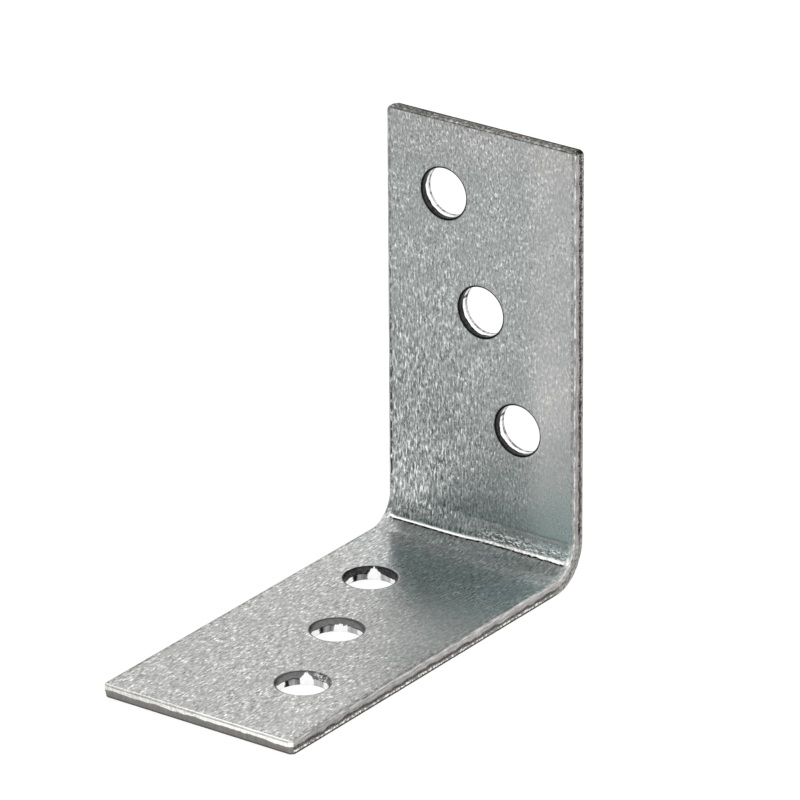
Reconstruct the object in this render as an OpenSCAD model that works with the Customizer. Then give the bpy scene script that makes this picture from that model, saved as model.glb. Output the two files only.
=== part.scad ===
/* [Strip] */
// Width of the steel strip
strip_w = 19.5; // [17:0.5:30]
// Thickness of the sheet
sheet_t = 1.25; // [1:0.05:2.5]

/* [Legs] */
// Length of the flat leg, from the back face to its free end
foot_len = 41.8; // [37:0.2:60]
// Height of the upright leg, from the underside to its free end
upright_len = 39.6; // [34:0.2:60]
// Radius of the free ends' corners, seen on the flat of the sheet
corner_r = 0.5; // [0.3:0.1:3]

/* [Bend] */
// Inside radius of the bend between the legs
bend_r = 2.6; // [1.5:0.1:4]
// Lean of the flanks that the bending tool's nose leaves, from each leg's face, in degrees
mark_lean = 15; // [5:1:25]
// Angle at which a flank breaks out of the bend's round, in degrees
mark_shoulder = 6; // [3:1:12]
// Radius of the tool's nose
mark_nose_r = 0.25; // [0.1:0.05:0.5]
// Distance from a cut edge of the strip to the end of the tool's mark
mark_end_gap = 0.3; // [0.25:0.05:2]
// Length over which the mark fades out at its ends
mark_fade = 0.6; // [0.2:0.1:2]

/* [Screw holes] */
// Diameter of the punched holes, measured on their smooth land
hole_d = 4.5; // [3:0.1:5.5]
// Distance from hole to hole along a leg
hole_pitch = 10; // [7:0.5:12]
// Sideways step from one hole to the next
hole_step = 3.8; // [2:0.1:6]
// Distance from the flat leg's free end to its first hole
foot_end_margin = 9.6; // [5:0.2:12]
// Distance from the upright leg's free end to its first hole
upright_end_margin = 6.75; // [5:0.25:9]

/* [Cut edges] */
// Radius of the lip that the punch rolls over
lip_r = 0.2; // [0.1:0.05:0.28]
// Depth at which the smooth land ends and the break begins
land_depth = 0.7; // [0.35:0.05:0.9]
// How far the break leans away from the land
break_lean = 0.12; // [0.02:0.01:0.2]

/* [Hidden] */

// Holes in the slanting row of one leg
holes_per_leg = 3;
// Roundness of arcs
$fn = 64;
// Cutting bodies run past the faces they cut by this much
over = 1;

outer_r = bend_r + sheet_t;
hole_r = hole_d / 2;
foot_flat = foot_len - outer_r;
upright_flat = upright_len - outer_r;

// Section of the sheet from x = inside to its cut edge at x = edge; y = 0 is the face that the
// punch entered
module edge_section(inside, edge) {
    polygon([
        [inside, -lip_r],
        [inside, -sheet_t],
        [edge - break_lean, -sheet_t],
        [edge, -land_depth],
        [edge, -lip_r]
    ]);
    translate([inside, -lip_r])
        square([edge - lip_r - inside, lip_r]);
    intersection() {
        translate([edge - lip_r, -lip_r])
            circle(r = lip_r);
        translate([edge - lip_r, -lip_r])
            square(lip_r);
    }
}

// Section across the whole strip, with a cut edge on either side
module strip_section() {
    edge_section(0, strip_w / 2);
    mirror([1, 0])
        edge_section(0, strip_w / 2);
}

// Straight cut edge: runs along -x from the origin, with the sheet behind it in +y
module straight_edge(length, reach) {
    rotate([90, 0, -90])
        linear_extrude(height = length)
            edge_section(-reach, 0);
}

// Quarter turn of the cut edge round a corner whose centre is the origin
module corner_edge() {
    rotate([0, 0, -90])
        rotate_extrude(angle = 90)
            edge_section(0, corner_r);
}

// Sheet of one leg, laid flat: free end at y = 0, bend at y = flat, punched face at z = 0
module leg_sheet(flat) {
    side = strip_w / 2 - corner_r;
    translate([0, flat, 0])
        rotate([90, 0, 0])
            linear_extrude(height = flat - corner_r)
                strip_section();
    translate([side, 0, 0])
        straight_edge(2 * side, corner_r);
    translate([side, corner_r, 0])
        corner_edge();
    mirror([1, 0, 0])
        translate([side, corner_r, 0])
            corner_edge();
}

// What the punch takes out: a rolled lip, a round land, then a break that flares to the far face
module punched_hole() {
    rotate_extrude() {
        polygon([
            [0, over],
            [hole_r, over],
            [hole_r, -land_depth],
            [hole_r + break_lean, -sheet_t],
            [hole_r + break_lean, -sheet_t - over],
            [0, -sheet_t - over]
        ]);
        difference() {
            translate([hole_r, -lip_r])
                square([lip_r, lip_r + over]);
            translate([hole_r + lip_r, -lip_r])
                circle(r = lip_r);
        }
    }
}

// One leg with its slanting row of holes, first hole nearest the free end
module leg(flat, end_margin) {
    difference() {
        leg_sheet(flat);
        for (i = [0 : holes_per_leg - 1]) {
            across = ((holes_per_leg - 1) / 2 - i) * hole_step;
            along = end_margin + i * hole_pitch;
            translate([across, along, 0])
                punched_hole();
        }
    }
}

// A point at a distance and an angle from the middle of the bend
function polar(distance, angle) = distance * [cos(angle), sin(angle)];

// Outline of the bending tool's nose: two flat flanks that meet in a small round
module nose_outline() {
    half_turn = 45 - mark_lean;
    flank_d = bend_r * cos(mark_shoulder);
    nose = polar((flank_d - mark_nose_r) / cos(half_turn), 45);
    translate(nose)
        circle(r = mark_nose_r);
    polygon([
        [0, 0],
        polar(flank_d, mark_lean),
        nose + polar(mark_nose_r, mark_lean),
        nose + polar(mark_nose_r, 90 - mark_lean),
        polar(flank_d, 90 - mark_lean)
    ]);
}

// What the nose presses into the inside of the bend, fading out before the cut edges
module bend_mark() {
    mouth = strip_w / 2 - mark_end_gap;
    slope = mark_fade / (bend_r / cos(45 - mark_lean) - bend_r);
    far = bend_r + over;
    intersection() {
        linear_extrude(height = strip_w, center = true)
            nose_outline();
        rotate([0, 0, 45])
            rotate([90, 0, 0])
                linear_extrude(height = 2 * far, center = true)
                    polygon([
                        [0, mouth + slope * bend_r],
                        [far, mouth - slope * over],
                        [far, -mouth + slope * over],
                        [0, -mouth - slope * bend_r]
                    ]);
    }
}

// The quarter turn of strip that joins the legs
module bend() {
    rotate([0, 90, 0])
        difference() {
            rotate_extrude(angle = 90)
                translate([bend_r, 0])
                    rotate(90)
                        strip_section();
            bend_mark();
        }
}

module angle_bracket() {
    back = foot_len / 2;
    color("silver")
        union() {
            translate([0, -back, sheet_t])
                leg(foot_flat, foot_end_margin);
            translate([0, back - outer_r, outer_r])
                bend();
            translate([0, back - sheet_t, upright_len])
                rotate([90, 180, 0])
                    leg(upright_flat, upright_end_margin);
        }
}

angle_bracket();
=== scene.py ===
"""Dresses the angle bracket: a punched and bent strip of galvanised steel on a pale light table."""
import logging
import math
from collections.abc import Callable
from dataclasses import dataclass, field
from enum import Enum

import bmesh
import bpy
from mathutils import Matrix, Vector


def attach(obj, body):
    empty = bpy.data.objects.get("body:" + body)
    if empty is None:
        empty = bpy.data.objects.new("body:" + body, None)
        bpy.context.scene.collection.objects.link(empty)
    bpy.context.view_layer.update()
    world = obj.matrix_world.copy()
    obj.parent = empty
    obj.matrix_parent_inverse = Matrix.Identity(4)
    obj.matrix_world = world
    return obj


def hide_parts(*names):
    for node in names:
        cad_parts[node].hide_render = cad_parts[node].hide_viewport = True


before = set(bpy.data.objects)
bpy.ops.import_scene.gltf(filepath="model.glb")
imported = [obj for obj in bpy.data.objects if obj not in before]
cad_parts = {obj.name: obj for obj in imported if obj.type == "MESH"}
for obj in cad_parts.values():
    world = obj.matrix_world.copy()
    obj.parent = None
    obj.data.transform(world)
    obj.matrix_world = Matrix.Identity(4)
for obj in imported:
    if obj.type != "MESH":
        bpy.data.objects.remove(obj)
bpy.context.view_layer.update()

LOG = logging.getLogger("angle_bracket")
METRES_PER_MM = 0.001
# Two points closer than this, in millimetres, are the same point
SAME_PLACE = 0.002
QUARTER_TURN = 90.0
WHOLE_TURN = 360.0
# The middle of the bend, in degrees from the flat leg's side
BEND_MIDDLE = 45.0
# How strongly the lumps of an uneven push stand out
LUMP_CONTRAST = 1.6
# The value about which a material's noise varies
NOISE_MIDDLE = 0.5

Point = tuple[float, float, float]
Colour = tuple[float, float, float]
# Where something begins to rise from 0, and where it reaches 1
Span = tuple[float, float]
PlaceRule = Callable[[Vector], bool]
WeightRule = Callable[[Vector], float]


class Axis(Enum):
    """Direction in which the points of a piece are pushed."""

    ACROSS = "X"
    ALONG = "Y"
    DEPTH = "Z"
    OUTWARD = "NORMAL"


def ramp(value: float, start: float, end: float) -> float:
    """Rises smoothly from 0 at start to 1 at end.

    Args:
        value: The number that is looked up.
        start: Where the rise begins.
        end: Where the rise ends; it may lie below start.

    Returns:
        A number from 0 to 1.
    """
    share = min(max((value - start) / (end - start), 0.0), 1.0)
    return share * share * (3.0 - 2.0 * share)


class Bench:
    """Starts a piece, picks its parts and finishes it, as a modeller does by hand."""

    def __init__(self, name: str) -> None:
        """Adds a plane at the origin and merges it into the piece's first point.

        Args:
            name: The name of the piece.
        """
        bpy.ops.object.select_all(action="DESELECT")
        bpy.ops.mesh.primitive_plane_add(size=1.0, location=(0.0, 0.0, 0.0))
        self.piece = bpy.context.object
        self.piece.name = name
        self.piece.data.name = name
        self.edit()
        bpy.ops.mesh.select_all(action="SELECT")
        bpy.ops.mesh.merge(type="CENTER")

    def edit(self) -> None:
        """Opens the piece for editing."""
        bpy.ops.object.mode_set(mode="EDIT")

    def close(self) -> None:
        """Closes the piece."""
        bpy.ops.object.mode_set(mode="OBJECT")

    def draw(self, points: list[Point]) -> None:
        """Draws a line through points, from the first point of the piece, and picks all of it.

        Args:
            points: The places of the line's points, in millimetres.
        """
        bpy.ops.transform.translate(value=points[0])
        for last, place in zip(points, points[1:]):
            step = tuple(b - a for a, b in zip(last, place))
            bpy.ops.mesh.extrude_vertices_move(TRANSFORM_OT_translate={"value": step})
        bpy.ops.mesh.select_all(action="SELECT")

    def pull(self, travel: Point, steps: int) -> None:
        """Extrudes what is picked along a straight line.

        Args:
            travel: The whole way, in millimetres.
            steps: How many equal steps it is made in.
        """
        step = tuple(way / steps for way in travel)
        bpy.ops.mesh.extrude_repeat(steps=steps, offset=step)

    def turn(self, centre: Point, degrees: float, steps: int) -> None:
        """Spins what is picked anticlockwise about an upright axis.

        Args:
            centre: A point on the axis, in millimetres.
            degrees: How far it turns.
            steps: How many equal steps it is made in.
        """
        bpy.ops.mesh.spin(steps=steps, angle=math.radians(-degrees), center=centre, axis=(0, 0, 1))

    def pick_open_edges(self, rule: PlaceRule) -> None:
        """Picks the edges that have one face, where both their ends obey a rule.

        Args:
            rule: Tells of a place in millimetres whether it is wanted.
        """
        bpy.ops.mesh.select_all(action="DESELECT")
        bpy.ops.mesh.select_mode(type="EDGE")
        mesh = bmesh.from_edit_mesh(self.piece.data)
        for edge in mesh.edges:
            if edge.is_boundary and all(rule(vert.co) for vert in edge.verts):
                edge.select_set(True)
        bmesh.update_edit_mesh(self.piece.data)

    def heal(self) -> None:
        """Merges points that meet and turns every face outwards."""
        bpy.ops.mesh.select_mode(type="VERT")
        bpy.ops.mesh.select_all(action="SELECT")
        bpy.ops.mesh.remove_doubles(threshold=SAME_PLACE)
        bpy.ops.mesh.normals_make_consistent(inside=False)

    def push(
        self,
        name: str,
        axis: Axis,
        distance: float,
        rule: WeightRule,
        grain: float = 0.0,
        depth: int = 1,
    ) -> None:
        """Pushes points of the closed piece, each by its own share of a distance.

        Args:
            name: What the push makes.
            axis: The direction.
            distance: How far a point of share 1 goes, in millimetres; negative is backwards.
            rule: Gives the share of a point from its place.
            grain: Size of the lumps that vary the push, in millimetres, or 0 for an even push.
            depth: How many finer layers the lumps have.
        """
        group = self.piece.vertex_groups.new(name=name)
        for vert in self.piece.data.vertices:
            share = rule(vert.co)
            if share > 0.0:
                group.add([vert.index], min(share, 1.0), "REPLACE")
        tool = self.piece.modifiers.new(name, "DISPLACE")
        tool.direction = axis.value
        tool.mid_level = 0.0
        tool.strength = distance
        tool.vertex_group = name
        if grain:
            lumps = bpy.data.textures.new(name, "CLOUDS")
            lumps.noise_scale = grain
            lumps.noise_depth = depth
            lumps.intensity = 1.0
            lumps.contrast = LUMP_CONTRAST
            tool.texture = lumps
            tool.texture_coords = "LOCAL"
        self.apply(name)
        self.piece.vertex_groups.remove(self.piece.vertex_groups[name])

    def apply(self, name: str) -> None:
        """Applies a modifier to the piece.

        Args:
            name: The modifier's name.
        """
        bpy.ops.object.select_all(action="DESELECT")
        self.piece.select_set(True)
        bpy.context.view_layer.objects.active = self.piece
        bpy.ops.object.modifier_apply(modifier=name)


@dataclass(frozen=True)
class CutEdge:
    """Section of a cut edge of the sheet, in millimetres: lip, smooth land and leaning break."""

    thickness: float = 1.25
    lip_depth: float = 0.2
    lip_reach: float = 0.26
    land_depth: float = 0.7
    break_lean: float = 0.02
    margin: float = 0.5
    support: float = 0.03
    lip_steps: int = 6
    land_rows: int = 5
    break_rows: int = 6

    def profile(self) -> list[tuple[float, float]]:
        """The section from the punched face, over the cut, to the far face.

        Returns:
            For each point how far it stands out from the land, and its depth below the punched face.
        """
        rows = [(-self.margin, 0.0)]
        for step in range(self.lip_steps + 1):
            angle = math.pi / 2.0 * step / self.lip_steps
            out = self.lip_reach * (math.sin(angle) - 1.0)
            rows.append((out, self.lip_depth * (1.0 - math.cos(angle))))
        land = self.land_depth - self.lip_depth
        for row in range(1, self.land_rows + 1):
            rows.append((0.0, self.lip_depth + land * row / self.land_rows))
        broken = self.thickness - self.support - self.land_depth
        for row in range(1, self.break_rows + 1):
            depth = self.land_depth + broken * row / self.break_rows
            rows.append((-self.lean_at(depth), depth))
        rows.append((-self.break_lean, self.thickness))
        rows.append((-self.margin, self.thickness))
        return rows

    def lean_at(self, depth: float) -> float:
        """How far the break has leaned back at a depth."""
        return self.break_lean * (depth - self.land_depth) / (self.thickness - self.land_depth)


@dataclass
class SheetBlank:
    """The flat strip with its punched holes, before the bend, in millimetres.

    The strip lies with its width along x and its length along y. The bend will begin at y = 0, and
    z = 0 is the middle of the sheet, with the punched face on top.
    """

    cut: CutEdge = field(default_factory=CutEdge)
    hole_cut: CutEdge = CutEdge(lip_depth=0.12, lip_reach=0.28, break_lean=0.02)
    width: float = 19.47
    foot_length: float = 41.8
    upright_length: float = 39.6
    bend_radius: float = 2.6
    corner_radius: float = 0.5
    hole_diameter: float = 4.5
    hole_pitch: float = 10.0
    hole_step: float = 3.8
    foot_margin: float = 9.6
    upright_margin: float = 6.75
    holes_per_leg: int = 3
    mesh_step: float = 0.12
    corner_steps: int = 8
    bend_steps: int = 60
    hole_steps: int = 128

    @property
    def half_width(self) -> float:
        """From the middle of the strip to a cut side."""
        return self.width / 2.0

    @property
    def outer_radius(self) -> float:
        """Outside radius of the bend."""
        return self.bend_radius + self.cut.thickness

    @property
    def bend_length(self) -> float:
        """Length of strip that the bend takes, along the middle of the sheet."""
        return (self.bend_radius + self.cut.thickness / 2.0) * math.pi / 2.0

    @property
    def foot_end(self) -> float:
        """Place of the flat leg's free end."""
        return self.outer_radius - self.foot_length

    @property
    def upright_end(self) -> float:
        """Place of the upright leg's free end."""
        return self.bend_length + self.upright_length - self.outer_radius

    @property
    def top(self) -> float:
        """Height of the punched face."""
        return self.cut.thickness / 2.0

    def steps_for(self, length: float) -> int:
        """How many mesh steps a length gets."""
        return max(1, round(length / self.mesh_step))

    def hole_places(self) -> list[tuple[float, float]]:
        """Where the holes are, across and along the strip.

        Returns:
            The centres of the flat leg's holes and then of the upright leg's.
        """
        places = []
        for number in range(self.holes_per_leg):
            across = ((self.holes_per_leg - 1) / 2.0 - number) * self.hole_step
            along = number * self.hole_pitch
            places.append((across, self.foot_end + self.foot_margin + along))
            places.append((-across, self.upright_end - self.upright_margin - along))
        return places

    def cut_outline(self) -> Bench:
        """Sweeps the section of the cut edge round the strip.

        Returns:
            The bench with the open rim of the strip, closed for editing.
        """
        bench = Bench("bracket_sheet")
        side = self.half_width - self.corner_radius
        rows = self.cut.profile()
        bench.draw([(0.0, self.foot_end - out, self.top - depth) for out, depth in rows])
        bench.pull((side, 0.0, 0.0), self.steps_for(side))
        first_corner = (side, self.foot_end + self.corner_radius, 0.0)
        bench.turn(first_corner, QUARTER_TURN, self.corner_steps)
        foot_run = -self.foot_end - self.corner_radius
        bench.pull((0.0, foot_run, 0.0), self.steps_for(foot_run))
        bench.pull((0.0, self.bend_length, 0.0), self.bend_steps)
        upright_run = self.upright_end - self.bend_length - self.corner_radius
        bench.pull((0.0, upright_run, 0.0), self.steps_for(upright_run))
        last_corner = (side, self.upright_end - self.corner_radius, 0.0)
        bench.turn(last_corner, QUARTER_TURN, self.corner_steps)
        bench.pull((-side, 0.0, 0.0), self.steps_for(side))
        bench.close()
        mirror = bench.piece.modifiers.new("other_side", "MIRROR")
        mirror.merge_threshold = SAME_PLACE
        bench.apply("other_side")
        return bench

    def punch_hole(self) -> bpy.types.Object:
        """Spins the section of the cut edge into the wall of one hole.

        Returns:
            The wall, centred on the origin.
        """
        bench = Bench("hole_wall")
        radius = self.hole_diameter / 2.0
        rows = self.hole_cut.profile()
        bench.draw([(radius - out, 0.0, self.top - depth) for out, depth in rows])
        bench.turn((0.0, 0.0, 0.0), WHOLE_TURN, self.hole_steps)
        bench.heal()
        bench.close()
        marks = bench.piece.data.attributes.new("hole", "FLOAT_VECTOR", "POINT")
        for vert, mark in zip(bench.piece.data.vertices, marks.data):
            mark.vector = (*vert.co.xy.normalized(), 1.0)
        return bench.piece

    def place_holes(self, bench: Bench, wall: bpy.types.Object) -> None:
        """Copies the wall to every hole and joins the copies to the strip.

        Args:
            bench: The bench with the strip's rim.
            wall: The wall of one hole; it becomes the first of them.
        """
        bpy.ops.object.select_all(action="DESELECT")
        walls = [wall]
        for _ in self.hole_places()[1:]:
            wall.select_set(True)
            bpy.context.view_layer.objects.active = wall
            bpy.ops.object.duplicate()
            walls.append(bpy.context.object)
            bpy.ops.object.select_all(action="DESELECT")
        for copy, (across, along) in zip(walls, self.hole_places()):
            copy.location = (across, along, 0.0)
            copy.select_set(True)
        bench.piece.select_set(True)
        bpy.context.view_layer.objects.active = bench.piece
        bpy.ops.object.transform_apply(location=True, rotation=False, scale=False)
        bpy.ops.object.join()

    def lay_faces(self, bench: Bench) -> None:
        """Closes the strip with the faces of the bend and of both legs.

        Args:
            bench: The bench with the rim and the hole walls.
        """
        bench.edit()
        bench.heal()
        grid = self.steps_for(self.width - 2.0 * self.cut.margin)
        for level in (self.top, -self.top):
            bench.pick_open_edges(lambda at: abs(at.z - level) < SAME_PLACE and self.in_bend(at))
            bpy.ops.mesh.bridge_edge_loops(number_cuts=grid, interpolation="LINEAR")
            for leg in (self.on_foot, self.on_upright):
                bench.pick_open_edges(lambda at: abs(at.z - level) < SAME_PLACE and leg(at))
                bpy.ops.mesh.fill(use_beauty=True)
        bench.heal()
        bench.close()

    def in_bend(self, at: Vector) -> bool:
        """Whether a place is on the part of the strip that will be bent."""
        return -SAME_PLACE < at.y < self.bend_length + SAME_PLACE

    def on_foot(self, at: Vector) -> bool:
        """Whether a place is on the flat leg."""
        return at.y < SAME_PLACE

    def on_upright(self, at: Vector) -> bool:
        """Whether a place is on the upright leg."""
        return at.y > self.bend_length - SAME_PLACE

    def depth_of(self, at: Vector) -> float:
        """Depth of a place below the punched face."""
        return self.top - at.z

    def build(self) -> Bench:
        """Makes the whole blank and marks each point with its place on the strip.

        Returns:
            The bench with the closed blank.
        """
        bench = self.cut_outline()
        self.place_holes(bench, self.punch_hole())
        self.lay_faces(bench)
        strip = bench.piece.data.attributes.new("strip", "FLOAT_VECTOR", "POINT")
        for vert, mark in zip(bench.piece.data.vertices, strip.data):
            mark.vector = (vert.co.x, vert.co.y, self.depth_of(vert.co))
        return bench


@dataclass
class CutWear:
    """How the shears and the punch leave the cut edges uneven, in millimetres."""

    border_wander: float = 0.2
    border_lumps: float = 1.1
    tear: float = 0.05
    tear_lumps: float = 0.2
    tear_layers: int = 2
    above_border: float = 0.05
    below_border: float = 0.15
    foot_end_border: float = 0.12
    foot_end_slant: float = 0.16
    upright_end_slant: float = 0.12

    def roughen(self, bench: Bench, blank: SheetBlank) -> None:
        """Lets the end of the land wander, tears the break and slants it at the free ends.

        Args:
            bench: The bench with the closed blank.
            blank: Its sizes.
        """
        cut = blank.cut
        near = 2.0 * cut.margin

        def border(at: Vector) -> float:
            depth = blank.depth_of(at)
            if depth < cut.land_depth:
                return ramp(depth, cut.lip_depth, cut.land_depth)
            return ramp(depth, cut.thickness - cut.support, cut.land_depth)

        def torn(at: Vector) -> float:
            depth = blank.depth_of(at)
            if depth > cut.thickness - SAME_PLACE:
                return 0.0
            whole = cut.land_depth + self.below_border
            return ramp(depth, cut.land_depth - self.above_border, whole)

        def slant(at: Vector) -> float:
            return ramp(blank.depth_of(at), cut.land_depth, cut.thickness)

        def at_foot_end(at: Vector) -> float:
            return ramp(at.y, blank.foot_end + near, blank.foot_end)

        def at_upright_end(at: Vector) -> float:
            return ramp(at.y, blank.upright_end - near, blank.upright_end)

        bench.push("border_long", Axis.DEPTH, self.border_wander, border, grain=self.border_lumps)
        bench.push("border_level", Axis.DEPTH, -self.border_wander / 2.0, border)
        bench.push(
            "break_tear",
            Axis.OUTWARD,
            -self.tear,
            torn,
            grain=self.tear_lumps,
            depth=self.tear_layers,
        )
        bench.push(
            "foot_end_border",
            Axis.DEPTH,
            self.foot_end_border,
            lambda at: border(at) * at_foot_end(at),
        )
        bench.push(
            "foot_end_slant",
            Axis.ALONG,
            self.foot_end_slant,
            lambda at: slant(at) * at_foot_end(at),
        )
        bench.push(
            "upright_end_slant",
            Axis.ALONG,
            -self.upright_end_slant,
            lambda at: slant(at) * at_upright_end(at),
        )


@dataclass
class ToolMark:
    """What the nose of the bending tool presses into the inside of the bend, in millimetres."""

    lean: float = 15.0
    shoulder: float = 6.0
    nose_left: float = 0.2
    nose_right: float = 0.45
    end_gap: float = 0.3
    fade: float = 0.6
    climb: float = 0.22
    crush: Span = (0.3, 0.65)
    burr: float = 0.08
    burr_reach: float = 0.8
    burr_lumps: float = 0.3
    burr_layers: int = 2

    def mouth(self, blank: SheetBlank) -> float:
        """Distance from the middle of the strip to the mark's ends."""
        return blank.half_width - self.end_gap

    def reach(self, blank: SheetBlank, angle: float, nose_radius: float) -> float:
        """Distance of the pressed surface from the middle of the bend.

        Args:
            blank: The blank that is bent.
            angle: The turn from the flat leg's side, in degrees.
            nose_radius: Radius of the tool's nose.

        Returns:
            The distance in millimetres, which is the bend's own radius outside the flanks.
        """
        flank = blank.bend_radius * math.cos(math.radians(self.shoulder))
        off = abs(angle - BEND_MIDDLE)
        half = BEND_MIDDLE - self.lean
        flat = flank / math.cos(math.radians(half - off))
        nose = (flank - nose_radius) / math.cos(math.radians(half))
        side = nose * math.sin(math.radians(off))
        if side < nose_radius * math.sin(math.radians(half)):
            tip = nose * math.cos(math.radians(off)) + math.sqrt(nose_radius**2 - side**2)
            flat = min(flat, tip)
        return flat if off < half + self.shoulder else blank.bend_radius

    def press(self, bench: Bench, blank: SheetBlank) -> None:
        """Presses the mark into the flat blank, where the bend will be.

        Args:
            bench: The bench with the blank.
            blank: Its sizes.
        """
        deepest = self.reach(blank, BEND_MIDDLE, self.nose_left) - blank.bend_radius
        mouth = self.mouth(blank)

        def share(at: Vector) -> float:
            if at.z < blank.top - SAME_PLACE or not blank.in_bend(at):
                return 0.0
            blunt = ramp(at.x, -mouth, mouth)
            shifted = at.y - self.climb * ramp(blunt, *self.crush)
            angle = QUARTER_TURN * shifted / blank.bend_length
            room = (mouth - abs(at.x)) / self.fade
            nose = self.nose_left + (self.nose_right - self.nose_left) * blunt
            depth = self.reach(blank, angle, nose) - blank.bend_radius
            return min(depth / deepest, max(room, 0.0))

        def burred(at: Vector) -> float:
            off = abs(at.y - blank.bend_length / 2.0)
            along = ramp(off, self.burr_reach, 0.0)
            return along * ramp(at.x, -mouth, mouth) * (1.0 if share(at) > 0.0 else 0.0)

        def raised(at: Vector) -> float:
            return -share(at)

        bench.push(
            "tool_burr",
            Axis.DEPTH,
            self.burr,
            burred,
            grain=self.burr_lumps,
            depth=self.burr_layers,
        )
        bench.push("tool_flank", Axis.DEPTH, deepest, raised)
        bench.push("tool_mark", Axis.DEPTH, -deepest, share)


@dataclass
class PressBrake:
    """Bends the blank through a right angle and sets the bracket down in its place."""

    bend_start: float = 17.05
    swell: float = 0.012
    swell_reach: float = 0.9
    swell_past_bend: float = 1.2
    swell_core: float = 0.35
    swell_fade: float = 1.6

    def swell_sides(self, bench: Bench, blank: SheetBlank) -> None:
        """Lets the cut sides bulge where the inside of the bend is squeezed.

        Args:
            bench: The bench with the blank.
            blank: Its sizes.
        """
        middle = blank.bend_length / 2.0
        length = middle + self.swell_past_bend

        def share(at: Vector) -> float:
            squeezed = 1.0 - self.swell_fade * blank.depth_of(at) / blank.cut.thickness
            along = ramp(abs(at.y - middle), length, self.swell_core * length)
            near = ramp(abs(at.x), blank.half_width - self.swell_reach, blank.half_width)
            return max(0.0, squeezed) * along * near

        for side, name in ((1.0, "right_swell"), (-1.0, "left_swell")):
            bench.push(
                name,
                Axis.ACROSS,
                side * self.swell,
                lambda at: share(at) if at.x * side > 0.0 else 0.0,
            )

    def bend(self, bench: Bench, blank: SheetBlank) -> None:
        """Bends the blank upwards about the axis across it.

        Args:
            bench: The bench with the blank; it holds the bent strip afterwards.
            blank: Its sizes.
        """
        nose = bpy.data.objects.new("bending_axis", None)
        bpy.context.scene.collection.objects.link(nose)
        across, along, up = Matrix.Identity(3)
        nose.matrix_world = Matrix((up, across, along)).to_4x4()
        bpy.context.view_layer.update()
        lengths = [vert.co.y for vert in bench.piece.data.vertices]
        start, whole = min(lengths), max(lengths) - min(lengths)
        tool = bench.piece.modifiers.new("press", "SIMPLE_DEFORM")
        tool.deform_method = "BEND"
        tool.deform_axis = "Z"
        tool.angle = math.radians(QUARTER_TURN)
        tool.origin = nose
        tool.limits = (-start / whole, (blank.bend_length - start) / whole)
        bench.apply("press")
        bpy.data.objects.remove(nose)

    def set_down(self, bench: Bench, blank: SheetBlank) -> None:
        """Moves the bent strip to its place in the frame and gives it its real size.

        Args:
            bench: The bench with the bent strip.
            blank: Its sizes.
        """
        bench.edit()
        bpy.ops.mesh.select_all(action="SELECT")
        bpy.ops.transform.translate(value=(0.0, self.bend_start, blank.top))
        bench.close()
        bench.piece.scale = (METRES_PER_MM,) * 3
        bpy.ops.object.transform_apply(location=True, rotation=True, scale=True)


class Signal:
    """A value inside a material, with which sums are written as on paper."""

    def __init__(self, sheet: "NodeSheet", socket: bpy.types.NodeSocket) -> None:
        """Wraps a socket.

        Args:
            sheet: The material's node sheet.
            socket: The output that carries the value.
        """
        self.sheet = sheet
        self.socket = socket

    def _sum(self, operation: str, *values: "Signal | float") -> "Signal":
        """Adds one Math node."""
        return self.sheet.node("ShaderNodeMath", {"operation": operation}, dict(enumerate(values)))

    def __add__(self, other: "Signal | float") -> "Signal":
        """This value plus another."""
        return self._sum("ADD", self, other)

    __radd__ = __add__

    def __sub__(self, other: "Signal | float") -> "Signal":
        """This value minus another."""
        return self._sum("SUBTRACT", self, other)

    def __rsub__(self, other: "Signal | float") -> "Signal":
        """A number minus this value."""
        return self._sum("SUBTRACT", other, self)

    def __mul__(self, other: "Signal | float") -> "Signal":
        """This value times another."""
        return self._sum("MULTIPLY", self, other)

    __rmul__ = __mul__

    def __abs__(self) -> "Signal":
        """The size of this value without its sign."""
        return self._sum("ABSOLUTE", self)

    def low(self, other: "Signal | float") -> "Signal":
        """The lower of this value and another."""
        return self._sum("MINIMUM", self, other)

    def high(self, other: "Signal | float") -> "Signal":
        """The higher of this value and another."""
        return self._sum("MAXIMUM", self, other)

    def rise(self, span: Span) -> "Signal":
        """Rises smoothly from 0 to 1.

        Args:
            span: Where the rise begins, and where it ends, which may be lower.

        Returns:
            A value from 0 to 1.
        """
        ends = (0.0, 1.0) if span[0] < span[1] else (1.0, 0.0)
        return self.sheet.node(
            "ShaderNodeMapRange",
            {"interpolation_type": "SMOOTHSTEP"},
            {0: self, 1: min(span), 2: max(span), 3: ends[0], 4: ends[1]},
        )

    def between(self, start: Span, end: Span) -> "Signal":
        """Rises over one span and falls again over another."""
        return self.rise(start) * self.rise(end)

    def sway(self, strength: "Signal | float") -> "Signal":
        """How far this noise is from its middle, times a strength."""
        return (self - NOISE_MIDDLE) * strength


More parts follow.
